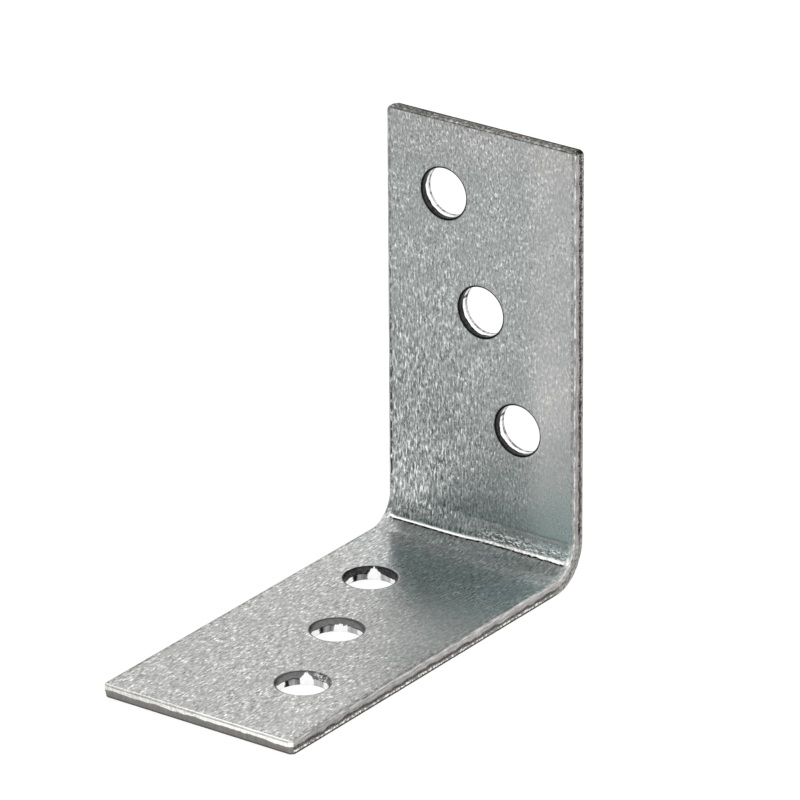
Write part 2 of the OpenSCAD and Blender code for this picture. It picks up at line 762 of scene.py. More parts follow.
class NodeSheet:
    """The nodes of one material, or of the surround."""

    FIRST_COLOUR = 6
    SECOND_COLOUR = 7
    MIXED_COLOUR = 2

    def __init__(self, owner: bpy.types.Material | bpy.types.World) -> None:
        """Empties the node sheet of a material or world.

        Args:
            owner: What the nodes belong to.
        """
        owner.use_nodes = True
        self.owner = owner
        self.tree = owner.node_tree
        self.tree.nodes.clear()

    def node(
        self, kind: str, settings: dict, inputs: dict, output: int | str | None = 0
    ) -> Signal | None:
        """Adds a node.

        Args:
            kind: Blender's name of the node type.
            settings: The node's own settings, set before its sockets.
            inputs: A value, colour or signal for each named or numbered socket.
            output: The output that is wanted, or None for a node without one.

        Returns:
            The signal of that output.
        """
        made = self.tree.nodes.new(kind)
        for setting, value in settings.items():
            setattr(made, setting, value)
        for socket, value in inputs.items():
            entry = made.inputs[socket]
            if isinstance(value, Signal):
                self.tree.links.new(value.socket, entry)
            elif entry.type == "RGBA":
                entry.default_value = (*value, 1.0)
            else:
                entry.default_value = value
        return None if output is None else Signal(self, made.outputs[output])

    def attribute(self, name: str, output: str) -> Signal:
        """Reads what the piece's points carry under a name."""
        return self.node("ShaderNodeAttribute", {"attribute_name": name}, {}, output)

    def split(self, vector: Signal) -> tuple[Signal, Signal, Signal]:
        """Splits a vector into its three values."""
        made = self.node("ShaderNodeSeparateXYZ", {}, {0: vector}).socket.node
        return tuple(Signal(self, output) for output in made.outputs)

    def stretch(self, vector: Signal, scale: Point, shift: Point) -> Signal:
        """Scales a vector and then moves it.

        Args:
            vector: The vector.
            scale: The factor on each axis.
            shift: What is added on each axis.

        Returns:
            The new vector.
        """
        return self.node(
            "ShaderNodeVectorMath",
            {"operation": "MULTIPLY_ADD"},
            {0: vector, 1: scale, 2: shift},
        )

    def noise(self, vector: Signal, scale: float, detail: float, rough: float) -> Signal:
        """Cloudy noise about 0.5.

        Args:
            vector: Where it is read.
            scale: Lumps per unit.
            detail: How many finer layers it has.
            rough: How strong the finer layers are.

        Returns:
            A value from 0 to 1.
        """
        return self.node(
            "ShaderNodeTexNoise",
            {},
            {"Vector": vector, "Scale": scale, "Detail": detail, "Roughness": rough},
        )

    def blend(self, share: Signal | float, first: Signal | tuple, second: Signal | tuple) -> Signal:
        """Mixes two colours.

        Args:
            share: How much of the second there is.
            first: The colour at share 0.
            second: The colour at share 1.

        Returns:
            The mixed colour.
        """
        settings = {"data_type": "RGBA", "blend_type": "MIX"}
        inputs = {0: share, self.FIRST_COLOUR: first, self.SECOND_COLOUR: second}
        return self.node("ShaderNodeMix", settings, inputs, self.MIXED_COLOUR)

    def mix(self, share: Signal, first: Signal | float, second: Signal | float) -> Signal:
        """Goes from one value to another.

        Args:
            share: How much of the second there is.
            first: The value at share 0.
            second: The value at share 1.

        Returns:
            The mixed value.
        """
        return self.node("ShaderNodeMix", {"data_type": "FLOAT"}, {0: share, 2: first, 3: second})

    def dim(self, colour: Signal | Colour, level: Signal) -> Signal:
        """Multiplies a colour by a level."""
        return self.node(
            "ShaderNodeVectorMath", {"operation": "SCALE"}, {0: colour, "Scale": level}
        )

    def finish(self, surface: Signal) -> bpy.types.Material | bpy.types.World:
        """Connects the surface to the output.

        Args:
            surface: The shader.

        Returns:
            The material or world that the nodes belong to.
        """
        in_world = isinstance(self.owner, bpy.types.World)
        kind = "ShaderNodeOutputWorld" if in_world else "ShaderNodeOutputMaterial"
        self.node(kind, {}, {"Surface": surface}, None)
        return self.owner


@dataclass(frozen=True)
class Grain:
    """One layer of noise: its lumps per millimetre, on the strip as it is stretched and shifted."""

    scale: float
    stretch: Point = (1.0, 1.0, 1.0)
    shift: Point = (0.0, 0.0, 0.0)
    detail: float = 2.0
    rough: float = 0.6


class StripPlace:
    """Tells a material where each point of the surface lies on the strip, in millimetres."""

    BELOW_FACE: Span = (0.0, 0.02)
    ON_FACE: Span = (0.05, 0.01)
    LEG_BLEND: Span = (0.1, -0.1)
    FROM_END: Span = (0.4, 0.25)
    PAST_BEND: Span = (0.6, -0.4)

    def __init__(self, sheet: NodeSheet, blank: SheetBlank) -> None:
        """Reads the piece's attributes.

        Args:
            sheet: The material's node sheet.
            blank: The sizes of the strip.
        """
        self.sheet = sheet
        self.blank = blank
        self.layers: dict[Grain, Signal] = {}
        self.flat = sheet.attribute("strip", "Vector")
        self.across, self.along, self.depth = sheet.split(self.flat)
        hole = sheet.attribute("hole", "Vector")
        self.hole_across, self.hole_along, self.in_hole = sheet.split(hole)
        half_bend = blank.bend_length / 2.0
        self.past_middle = self.along - half_bend
        self.below_top = blank.upright_end - self.along
        self.above_far_face = blank.cut.thickness - self.depth
        self.on_face = self.depth.rise(self.ON_FACE)
        clear_of_far_face = self.above_far_face.rise((0.0, blank.cut.support))
        self.on_cut = self.depth.rise(self.BELOW_FACE) * clear_of_far_face
        self.on_foot = self.past_middle.rise(self.LEG_BLEND)
        self.on_upright = 1.0 - self.on_foot
        self.on_foot_end = (self.along - blank.foot_end).rise(self.FROM_END)
        self.on_upright_end = self.below_top.rise(self.FROM_END)
        self.in_bend = (abs(self.past_middle) - half_bend).rise(self.PAST_BEND)

    def grain(self, layer: Grain) -> Signal:
        """Reads a layer of noise, whose nodes are made only once.

        Args:
            layer: The layer.

        Returns:
            A value from 0 to 1.
        """
        if layer not in self.layers:
            spot = self.sheet.stretch(self.flat, layer.stretch, layer.shift)
            self.layers[layer] = self.sheet.noise(spot, layer.scale, layer.detail, layer.rough)
        return self.layers[layer]


@dataclass(frozen=True)
class ZincFace:
    """The zinc on the sheet's faces: fine bright grain along the strip, and worn at the left.

    Spans are in millimetres across and along the strip, or in noise where they are picked out of
    a layer. The other numbers are shares of the zinc's brightness or colour.
    """

    zinc: Colour = (0.39, 0.408, 0.405)
    warm_zinc: Colour = (0.432, 0.428, 0.424)
    # painted reflection: the cool tint of the upright leg reflected in the flat leg
    painted_reflection_zinc: Colour = (0.398, 0.432, 0.43)
    rubbed_zinc: Colour = (0.362, 0.361, 0.356)

    speck: Grain = Grain(5.4, (1.0, 0.45, 1.0), detail=1.0, rough=0.5)
    dust: Grain = Grain(11.0, (1.0, 0.4, 1.0), (31.0, 7.0, 3.0), detail=1.0)
    scratch: Grain = Grain(1.0, (4.6, 0.7, 1.0))
    flake: Grain = Grain(5.2, (1.0, 0.4, 1.0), (3.0, 41.0, 9.0), detail=1.0, rough=0.55)
    streak: Grain = Grain(6.2, (1.0, 0.2, 1.0), (17.0, 5.0, 21.0), detail=1.0, rough=0.5)
    cloud: Grain = Grain(0.4, detail=3.0, rough=0.55)
    gap: Grain = Grain(1.3, (1.0, 1.6, 1.0), detail=1.0, rough=0.5)

    level: float = 0.94
    darkest: float = 0.3
    cloud_tone: float = 0.3
    patch_level: float = 0.9
    patch_tone: float = 1.8

    upright_speck: float = 1.1
    bright_speck: Span = (0.56, 0.76)
    bright_speck_tone: float = 0.8
    upright_dust: float = 1.8
    upright_streak: float = 0.8
    upright_scratch: float = 0.5
    worn_side: Span = (5.0, -6.0)
    worn_part: Span = (36.0, 16.0)
    worn_streak: float = 1.3
    worn_glint: Span = (0.58, 0.68)
    worn_glint_tone: float = 0.6
    worn_dark: float = 0.12
    upright_strength: float = 0.9
    above_bend: Span = (16.0, 8.0)
    above_bend_strength: float = 0.3

    foot_flake: float = 1.2
    bright_flake: Span = (0.6, 0.7)
    bright_flake_tone: float = 0.6
    foot_dust: float = 1.2
    foot_streak: float = 1.3
    foot_scratch: float = 0.8

    margin: Span = (3.6, 7.2)
    margin_calm: float = 0.3
    margin_tone: float = 0.08
    low_part: Span = (26.0, 10.0)
    low_margin_tone: float = 0.6
    corner_part: Span = (14.0, 6.0)
    corner_side: Span = (0.0, 8.0)
    corner_tone: float = 0.2
    corner_side_tone: float = 0.4
    left_side: Span = (4.0, -5.0)
    left_top: Span = (26.0, 34.0)
    left_bottom: Span = (22.0, 14.0)
    left_dark: float = 0.06
    foot_tone: float = 0.07
    # Painted light on the flat leg, lightening the band where the upright's dark reflection falls:
    foot_side: Span = (0.0, 6.0)
    foot_near: Span = (-2.0, -10.0)
    foot_far: Span = (-21.0, -14.0)
    foot_painted_light: float = 0.34

    top_part: Span = (6.0, 0.5)
    top_warmth: float = 0.6
    near_bend: Span = (-10.0, -5.0)
    foot_warmth: float = 0.65
    margin_part: Span = (30.0, 10.0)
    margin_part_warmth: float = 0.66
    margin_warmth: float = 0.44
    cloud_warmth: float = 0.8
    # Where the painted cool reflection tint lies on the flat leg:
    cool_part: Span = (-16.0, -7.0)
    cool_side: Span = (-8.0, -3.0)
    rubbed_start: Span = (0.0, 0.1)
    rubbed_end: Span = (2.5, 1.7)

    # Painted shade in a thin line where the face meets the rolled lips of the sides:
    crease_inset: float = 0.05
    crease_width: Span = (0.15, 0.05)
    crease_gaps: Span = (0.4, 0.56)
    crease_dark: float = 0.4
    left_crease_side: Span = (0.0, -1.0)
    left_crease_part: Span = (24.0, 18.0)
    left_crease_dark: float = 0.45

    def upright_grain(self, place: StripPlace) -> Signal:
        """Specks, streaks and scratches of the upright leg.

        Args:
            place: Where a point lies on the strip.

        Returns:
            What they add to the brightness.
        """
        speck = place.grain(self.speck)
        streak = place.grain(self.streak)
        worn = place.across.rise(self.worn_side) * place.along.rise(self.worn_part)
        grain = speck.sway(self.upright_speck)
        grain = grain + speck.rise(self.bright_speck) * self.bright_speck_tone
        grain = grain + place.grain(self.dust).sway(self.upright_dust)
        grain = grain + streak.sway(worn * self.worn_streak + self.upright_streak)
        grain = grain + place.grain(self.scratch).sway(self.upright_scratch)
        grain = grain + streak.rise(self.worn_glint) * worn * self.worn_glint_tone
        grain = grain - worn * self.worn_dark
        lower = place.along.rise(self.above_bend) * self.above_bend_strength
        return grain * (lower + self.upright_strength)

    def foot_grain(self, place: StripPlace) -> Signal:
        """Flakes, streaks and scratches of the flat leg.

        Args:
            place: Where a point lies on the strip.

        Returns:
            What they add to the brightness.
        """
        flake = place.grain(self.flake)
        grain = flake.sway(self.foot_flake)
        grain = grain + flake.rise(self.bright_flake) * self.bright_flake_tone
        grain = grain + place.grain(self.dust).sway(self.foot_dust)
        grain = grain + place.grain(self.streak).sway(self.foot_streak)
        return grain + place.grain(self.scratch).sway(self.foot_scratch)

    def shade(self, place: StripPlace) -> Signal:
        """Slow changes: lighter at the right and near the bend, darker at the left, and a painted
        lighter patch on the flat leg that thins the upright's dark reflection.

        Args:
            place: Where a point lies on the strip.

        Returns:
            What they add to the brightness.
        """
        low = place.along.rise(self.low_part) * place.on_upright
        margin = place.across.rise(self.margin) * (low * self.low_margin_tone + self.margin_tone)
        corner = place.across.rise(self.corner_side) * self.corner_side_tone + self.corner_tone
        corner = corner * place.along.rise(self.corner_part)
        left = place.along.rise(self.left_top).high(place.along.rise(self.left_bottom))
        left = left * place.across.rise(self.left_side) * self.left_dark
        # painted light: a lighter patch on the flat leg's right side, against the upright's dark
        # reflection
        foot = place.along.between(self.foot_near, self.foot_far)
        foot = foot * place.across.rise(self.foot_side) * self.foot_painted_light + self.foot_tone
        return margin + place.sheet.mix(place.on_foot, corner - left, foot)

    def tone(self, place: StripPlace) -> Signal:
        """Brightness of the zinc: its grain, calmer near the right side, and its slow changes.

        Args:
            place: Where a point lies on the strip.

        Returns:
            A factor about 1.
        """
        cloud = place.grain(self.cloud)
        calm = 1.0 - place.across.rise(self.margin) * self.margin_calm
        upright = self.upright_grain(place) * calm
        grain = place.sheet.mix(place.on_foot, upright, self.foot_grain(place))
        grain = grain * (cloud.sway(self.patch_tone) + self.patch_level)
        tone = grain + self.level + cloud.sway(self.cloud_tone) + self.shade(place)
        return tone.high(self.darkest)

    def colour(self, place: StripPlace) -> Signal:
        """Colour of the zinc: cool on the upright leg, warmer on the flat leg and at the top, and a
        painted cool reflection tint on the flat leg beside the bend.

        Args:
            place: Where a point lies on the strip.

        Returns:
            The colour.
        """
        sheet = place.sheet
        away = 1.0 - place.past_middle.rise(self.near_bend)
        warmth = place.on_foot * away * self.foot_warmth
        warmth = warmth + place.below_top.rise(self.top_part) * self.top_warmth
        margin = place.along.rise(self.margin_part) * self.margin_part_warmth + self.margin_warmth
        warmth = warmth + margin * place.across.rise(self.margin) * place.on_upright
        warmth = warmth + place.grain(self.cloud).sway(self.cloud_warmth)
        colour = sheet.blend(warmth.high(0.0).low(1.0), self.zinc, self.warm_zinc)
        # painted reflection: a cool tint on the flat leg beside the bend, where the upright leg is
        # reflected
        painted_reflection = place.past_middle.rise(self.cool_part) * place.across.rise(self.cool_side)
        colour = sheet.blend(painted_reflection * place.on_foot, colour, self.painted_reflection_zinc)
        rubbed = place.past_middle.between(self.rubbed_start, self.rubbed_end)
        return sheet.blend(rubbed, colour, self.rubbed_zinc)

    def crease(self, place: StripPlace) -> Signal:
        """Strength of the painted shade: a thin dark broken line where the face meets the rolled
        lips of the sides.

        Args:
            place: Where a point lies on the strip.

        Returns:
            A value from 0 to 1.
        """
        lip_line = place.blank.half_width - place.blank.cut.lip_reach - self.crease_inset
        line = abs(abs(place.across) - lip_line).rise(self.crease_width)
        left = place.across.rise(self.left_crease_side) * place.along.rise(self.left_crease_part)
        painted_shade = left * place.on_upright * self.left_crease_dark + self.crease_dark
        line = line * place.grain(self.gap).rise(self.crease_gaps) * painted_shade
        return line * place.on_face * (1.0 - place.in_bend)


@dataclass(frozen=True)
class CutSteel:
    """What all cut sides and ends of the strip share: noise, a wandering land and a rolled lip.

    Here and in the classes for each of them, spans of depth are in millimetres below the punched
    face or, where they tell of a border, gap or fade, below the end of the land. The other
    numbers are shares of the bare steel's brightness.
    """

    wander: Grain = Grain(1.5, detail=3.0)
    chips: Grain = Grain(3.6)
    scratch: Grain = Grain(5.0, (1.0, 1.0, 0.2))
    burnish: Grain = Grain(3.2, (1.0, 0.22, 3.4))
    hatch: Grain = Grain(5.2, (1.0, 2.0, 0.9), detail=1.0, rough=0.5)
    slow: Grain = Grain(0.45, rough=0.5)
    wander_depth: float = 0.16
    chip_depth: float = 0.1
    lip_start: Span = (0.02, 0.05)
    lip_end: Span = (0.15, 0.1)
    bottom_rise: Span = (0.19, 0.1)

    def past_land(self, place: StripPlace) -> Signal:
        """How far a point is below the wandering end of the land.

        Args:
            place: Where the point lies on the strip.

        Returns:
            The distance in millimetres, which is negative on the land.
        """
        uneven = place.grain(self.wander).sway(self.wander_depth)
        uneven = uneven + place.grain(self.chips).sway(self.chip_depth)
        return place.depth - place.blank.cut.land_depth + uneven

    def lip(self, place: StripPlace) -> Signal:
        """The rolled lip, from 0 to 1."""
        return place.depth.between(self.lip_start, self.lip_end)

    def bottom(self, place: StripPlace) -> Signal:
        """The line where the break meets the far face, from 0 to 1."""
        return place.above_far_face.rise(self.bottom_rise)


@dataclass(frozen=True)
class LongSides(CutSteel):
    """The long cut sides: a burnished land, a dark gap below it and a torn break."""

    upright_shift: float = 0.08
    border: Span = (-0.04, 0.02)

    glint: Grain = Grain(2.4, (1.0, 0.5, 1.0), detail=3.0, rough=0.7)
    glint_patches: Span = (0.44, 0.6)
    glint_tone: float = 0.4
    foot_glint_less: float = 0.32
    land_tone: float = 0.34
    land_burnish: float = 0.9
    land_slow: float = 0.2
    land_scratch: float = 0.25
    foot_land_more: float = 0.07
    foot_fade: Span = (-0.28, 0.0)
    foot_fade_dark: float = 0.5
    outer_part: Span = (-12.0, -30.0)
    outer_dark: float = 0.07
    bent_land_grain: float = 0.5

    torn_upright: float = 0.05
    strokes: Span = (0.42, 0.6)
    stroke_tone: float = 0.36
    far_rim: Span = (0.92, 1.08)
    far_rim_tone: float = 0.12
    torn_foot: float = 0.3
    torn_foot_grain: float = 0.3
    dash_depth: float = 0.32
    dash_width: Span = (0.14, 0.06)
    dash_chips: Span = (0.48, 0.56)
    dash_tone: float = 0.6
    bottom_dark: float = 0.85
    pressed_tone: float = 0.32
    pressed_burnish: float = 0.9
    pressed_hatch: float = 0.6
    pressed_chips: float = 0.7

    upright_gap_start: Span = (-0.07, -0.01)
    upright_gap_end: Span = (0.36, 0.28)
    gap_strokes: Span = (0.5, 0.58)
    gap_stroke_less: float = 0.45
    foot_gap_start: Span = (-0.12, -0.02)
    foot_gap_end: Span = (0.2, 0.1)
    gap_chips: Span = (0.34, 0.44)
    gap_dark: float = 0.85
    foot_gap_less: float = 0.15
    bent_gap_less: float = 0.8

    # Painted shade in the sliver at the left of the bend:
    sliver_inset: Span = (0.12, 0.02)
    sliver_reach: Span = (0.7, 0.3)
    sliver_dark: float = 0.85

    def land(self, place: StripPlace, below: Signal) -> Signal:
        """Brightness of the smooth land and of the glints on its lip.

        Args:
            place: Where a point lies on the strip.
            below: How far the point is below the end of the land.

        Returns:
            A factor for the bare steel.
        """
        glint = place.grain(self.glint).rise(self.glint_patches)
        glint = glint * (self.glint_tone - place.on_foot * self.foot_glint_less)
        tone = place.grain(self.burnish).sway(self.land_burnish) + self.land_tone
        tone = tone + place.grain(self.slow).sway(self.land_slow)
        tone = tone + place.on_foot * self.foot_land_more
        tone = tone * (1.0 - below.rise(self.foot_fade) * place.on_foot * self.foot_fade_dark)
        tone = tone - place.along.rise(self.outer_part) * self.outer_dark
        tone = tone + self.lip(place) * glint
        tone = tone + place.grain(self.scratch).sway(self.land_scratch)
        bent = place.grain(self.chips).sway(self.bent_land_grain)
        bent = bent + place.grain(self.hatch).sway(self.bent_land_grain)
        return tone + place.in_bend * bent

    def torn(self, place: StripPlace, below: Signal) -> Signal:
        """Brightness of the torn break, and of the pressed steel beside the bend.

        Args:
            place: Where a point lies on the strip.
            below: How far the point is below the end of the land.

        Returns:
            A factor for the bare steel.
        """
        chips = place.grain(self.chips)
        hatch = place.grain(self.hatch)
        upright = hatch.rise(self.strokes) * self.stroke_tone + self.torn_upright
        upright = upright + place.depth.rise(self.far_rim) * self.far_rim_tone
        dash = abs(below - self.dash_depth).rise(self.dash_width) * chips.rise(self.dash_chips)
        foot = chips.sway(self.torn_foot_grain) + hatch.sway(self.torn_foot_grain)
        foot = foot + dash * self.dash_tone + self.torn_foot
        tone = place.sheet.mix(place.on_foot, upright, foot)
        tone = tone * (1.0 - self.bottom(place) * place.on_foot * self.bottom_dark)
        pressed = place.grain(self.burnish).sway(self.pressed_burnish) + self.pressed_tone
        pressed = pressed + hatch.sway(self.pressed_hatch) + chips.sway(self.pressed_chips)
        return place.sheet.mix(place.in_bend, tone, pressed)

    def gap(self, place: StripPlace, below: Signal) -> Signal:
        """How much the broken gap between land and break darkens the steel.

        Args:
            place: Where a point lies on the strip.
            below: How far the point is below the end of the land.

        Returns:
            A value from 0 to 1.
        """
        strokes = place.grain(self.hatch).rise(self.gap_strokes) * self.gap_stroke_less
        upright = below.between(self.upright_gap_start, self.upright_gap_end) * (1.0 - strokes)
        foot = below.between(self.foot_gap_start, self.foot_gap_end)
        gap = place.sheet.mix(place.on_foot, upright, foot)
        gap = gap * place.grain(self.chips).rise(self.gap_chips)
        gap = gap * (self.gap_dark - place.on_foot * self.foot_gap_less)
        return gap * (1.0 - place.in_bend * self.bent_gap_less)

    def sliver(self, place: StripPlace) -> Signal:
        """How much the painted shade of the dark sliver at the left of the bend darkens the steel.
        """
        left = (place.across + place.blank.half_width).rise(self.sliver_inset)
        return left * abs(place.past_middle).rise(self.sliver_reach) * self.sliver_dark

    def tone(self, place: StripPlace) -> Signal:
        """Brightness of the long sides.

        Args:
            place: Where a point lies on the strip.

        Returns:
            A factor for the bare steel.
        """
        below = self.past_land(place) + place.on_upright * self.upright_shift
        land = self.land(place, below)
        tone = place.sheet.mix(below.rise(self.border), land, self.torn(place, below))
        return tone * (1.0 - self.gap(place, below)) * (1.0 - self.sliver(place))


@dataclass(frozen=True)
class FootEnd(CutSteel):
    """The flat leg's free end: a bright land, rubbed bare towards the right, and a grey break."""

    bare_chips: float = 0.7
    bare_slope: float = 0.045
    bare_rise: Span = (0.2, 0.34)
    dull_tone: float = 0.76
    dull_chips: float = 0.8
    dull_scratch: float = 0.4
    bare_tone: float = 0.95
    bare_scratch: float = 0.5
    lip_dark: float = 0.2
    lip_patches: Span = (0.35, 0.6)
    lip_patch_dark: float = 0.3
    border: Span = (-0.16, -0.1)
    torn_tone: float = 0.235
    torn_grain: float = 0.12
    bottom_dark: float = 0.5

    def tone(self, place: StripPlace) -> Signal:
        """Brightness of the end.

        Args:
            place: Where a point lies on the strip.

        Returns:
            A factor for the bare steel.
        """
        chips = place.grain(self.chips)
        scratch = place.grain(self.scratch)
        rubbed = (chips * self.bare_chips + place.across * self.bare_slope).rise(self.bare_rise)
        dull = chips.sway(self.dull_chips) + scratch.sway(self.dull_scratch) + self.dull_tone
        bare = scratch.sway(self.bare_scratch) + self.bare_tone
        patches = place.grain(self.slow).rise(self.lip_patches) * self.lip_patch_dark
        land = place.sheet.mix(rubbed, dull, bare)
        land = land * (1.0 - self.lip(place) * (patches + self.lip_dark))
        torn = scratch.sway(self.torn_grain) + chips.sway(self.torn_grain) + self.torn_tone
        torn = torn * (1.0 - self.bottom(place) * self.bottom_dark)
        return place.sheet.mix(self.past_land(place).rise(self.border), land, torn)


@dataclass(frozen=True)
class UprightEnd(CutSteel):
    """The upright leg's free end: dark, with grey chips on its near half and a few sparks."""

    end_tone: float = 0.02
    patches: Span = (0.4, 0.6)
    patch_tone: float = 0.05
    chip_spots: Span = (0.47, 0.53)
    chip_tone: float = 0.14
    scratch_tone: float = 0.2
    near_fade: Span = (0.25, 0.0)
    lip_part: Span = (0.25, 0.1)
    lip_tone: float = 0.12
    sparks: Span = (0.6, 0.68)
    spark_part: Span = (0.9, 0.6)
    spark_tone: float = 0.25

    def tone(self, place: StripPlace) -> Signal:
        """Brightness of the end.

        Args:
            place: Where a point lies on the strip.

        Returns:
            A factor for the bare steel.
        """
        chips = place.grain(self.chips)
        tone = place.grain(self.slow).rise(self.patches) * self.patch_tone + self.end_tone
        tone = tone + chips.rise(self.chip_spots) * self.chip_tone
        tone = tone + place.grain(self.scratch).sway(self.scratch_tone)
        tone = tone * self.past_land(place).rise(self.near_fade)
        tone = tone + place.depth.rise(self.lip_part) * self.lip_tone
        sparks = chips.rise(self.sparks) * place.depth.rise(self.spark_part)
        return tone + sparks * self.spark_tone


@dataclass(frozen=True)
class HoleWalls:
    """The hole walls: a land darkened by painted shade, and a break that the punch drew out, with a
    painted highlight column on one side of each hole in the flat leg.

    The turn round a hole of the flat leg is measured towards its brightest side, where the painted
    highlight lies, from -1 to 1.
    """

    wander: Grain = Grain(1.4, detail=3.0)
    chips: Grain = Grain(3.4)
    drawn: Grain = Grain(2.6, (1.0, 1.0, 0.1))
    wander_depth: float = 0.24
    chip_depth: float = 0.12
    rim: Span = (0.12, 0.06)

    upright_border: Span = (-0.14, -0.08)
    upright_gap: float = -0.12
    upright_gap_width: Span = (0.12, 0.05)
    upright_gap_dark: float = 0.85
    # painted shade: the upright holes' land is kept dark
    upright_land: float = 0.035
    upright_chips: float = 0.12
    upright_rim_dark: float = 0.7
    far_part: Span = (0.93, 0.99)
    far_dark: float = 0.4
    far_drawn: Span = (0.4, 0.6)
    far_drawn_dark: float = 0.4
    nick_place: float = 0.3
    nick_width: Span = (0.1, 0.04)
    nick_side: Span = (0.0, -0.2)
    nick_part: Span = (30.0, 28.0)
    nick_dark: float = 0.85

    # The flat leg's holes: a painted highlight column and patches on the brightest side, and painted
    # shade on the land:
    bright_across: float = 0.81
    bright_along: float = 0.586
    turn_chips: float = 0.16
    outer_hole: Span = (-22.0, -24.0)
    inner_hole: Span = (-14.0, -12.0)
    foot_border: Span = (-0.02, 0.04)
    column_taper: float = 0.35
    column_start: Span = (-0.14, -0.08)
    column_end: Span = (0.42, 0.36)
    column_top: Span = (-0.04, 0.04)
    column_height: float = 0.12
    column_chips: float = 0.7
    outer_height: float = 0.5
    inner_height: float = 0.6
    streak_turn: float = -0.58
    streak_width: Span = (0.1, 0.05)
    streak_dark: float = 0.95
    grey_start: Span = (-0.66, -0.6)
    grey_end: Span = (0.78, 0.7)
    grey_turn: Span = (0.0, 0.3)
    left_grey: float = 0.28
    right_grey: float = 0.5
    grey_drawn: float = 0.8
    patch_chips: Span = (0.5, 0.57)
    patch_turn: Span = (0.35, 0.55)
    patch_tone: float = 0.45
    foot_land: float = 0.05
    foot_land_more: float = 0.13
    foot_chips: float = 0.16
    foot_gap_width: Span = (0.1, 0.04)
    foot_gap_dark: float = 0.7
    foot_rim_dark: float = 0.6

    def upright(self, place: StripPlace, below: Signal) -> Signal:
        """Brightness of the walls in the upright leg, whose dark land is painted shade.

        Args:
            place: Where a point lies on the strip.
            below: How far the point is below the end of the land.

        Returns:
            A factor for the bare steel.
        """
        gap = abs(below - self.upright_gap).rise(self.upright_gap_width)
        land = place.grain(self.chips).sway(self.upright_chips) + self.upright_land
        land = land * (1.0 - gap * self.upright_gap_dark)
        land = land * (1.0 - place.depth.rise(self.rim) * self.upright_rim_dark)
        drawn = place.grain(self.drawn).rise(self.far_drawn) * self.far_drawn_dark
        torn = 1.0 - place.depth.rise(self.far_part) * (drawn + self.far_dark)
        nick = abs(place.hole_along - self.nick_place).rise(self.nick_width)
        nick = nick * place.hole_across.rise(self.nick_side) * place.along.rise(self.nick_part)
        torn = torn * (1.0 - nick * self.nick_dark)
        return place.sheet.mix(below.rise(self.upright_border), land, torn)

    def foot(self, place: StripPlace, below: Signal) -> Signal:
        """Brightness of the walls in the flat leg, with their painted highlight column and bright
        patches, and painted shade on the dark land.

        Args:
            place: Where a point lies on the strip.
            below: How far the point is below the end of the land.

        Returns:
            A factor for the bare steel.
        """
        sheet = place.sheet
        chips = place.grain(self.chips)
        outer = place.along.rise(self.outer_hole)
        inner = place.along.rise(self.inner_hole)
        turn = place.hole_across * self.bright_across + place.hole_along * self.bright_along
        turn = turn + chips.sway(self.turn_chips)
        taper = (place.blank.cut.land_depth - place.depth).high(0.0) * self.column_taper
        # painted highlight: the bright column on the brightest side of the hole wall
        highlight_column = (turn - taper).rise(self.column_start) * (turn + taper).rise(self.column_end)

        drawn = place.grain(self.drawn).sway(self.grey_drawn)
        dull = sheet.mix(turn.rise(self.grey_turn), drawn + self.left_grey, drawn + self.right_grey)
        grey = turn.between(self.grey_start, self.grey_end) * (1.0 - highlight_column)
        streak = abs(turn - self.streak_turn).rise(self.streak_width)
        torn = sheet.mix(grey, 1.0, dull) * (1.0 - streak * self.streak_dark)

        # painted highlight: bright patches on the land beside the column
        patches = chips.rise(self.patch_chips) * turn.rise(self.patch_turn) * outer
        land = (1.0 - inner) * self.foot_land_more + self.foot_land
        land = land + chips.sway(self.foot_chips) + patches * self.patch_tone
        land = land * (1.0 - abs(below).rise(self.foot_gap_width) * self.foot_gap_dark)
        land = land * (1.0 - place.depth.rise(self.rim) * self.foot_rim_dark)
        tall = outer * self.outer_height + inner * self.inner_height
        tall = tall + chips.sway(self.column_chips) + self.column_height
        land = sheet.mix(highlight_column * (below + tall).rise(self.column_top), land, 1.0)
        return sheet.mix(below.rise(self.foot_border), land, torn)

    def tone(self, place: StripPlace) -> Signal:
        """Brightness of the hole walls.

        Args:
            place: Where a point lies on the strip.

        Returns:
            A factor for the bare steel.
        """
        uneven = place.grain(self.wander).sway(self.wander_depth)
        uneven = uneven + place.grain(self.chips).sway(self.chip_depth)
        below = place.depth - place.blank.cut.land_depth + uneven
        upright = self.upright(place, below)
        return place.sheet.mix(place.on_foot, upright, self.foot(place, below))


@dataclass(frozen=True)
class BesideLine:
    """Where a point of the bend lies beside the tool's line, in signals."""

    rightward: Signal
    crushed: Signal
    off: Signal
    half_width: Signal
    rough: Signal
    chips: Signal
    bumps: Signal


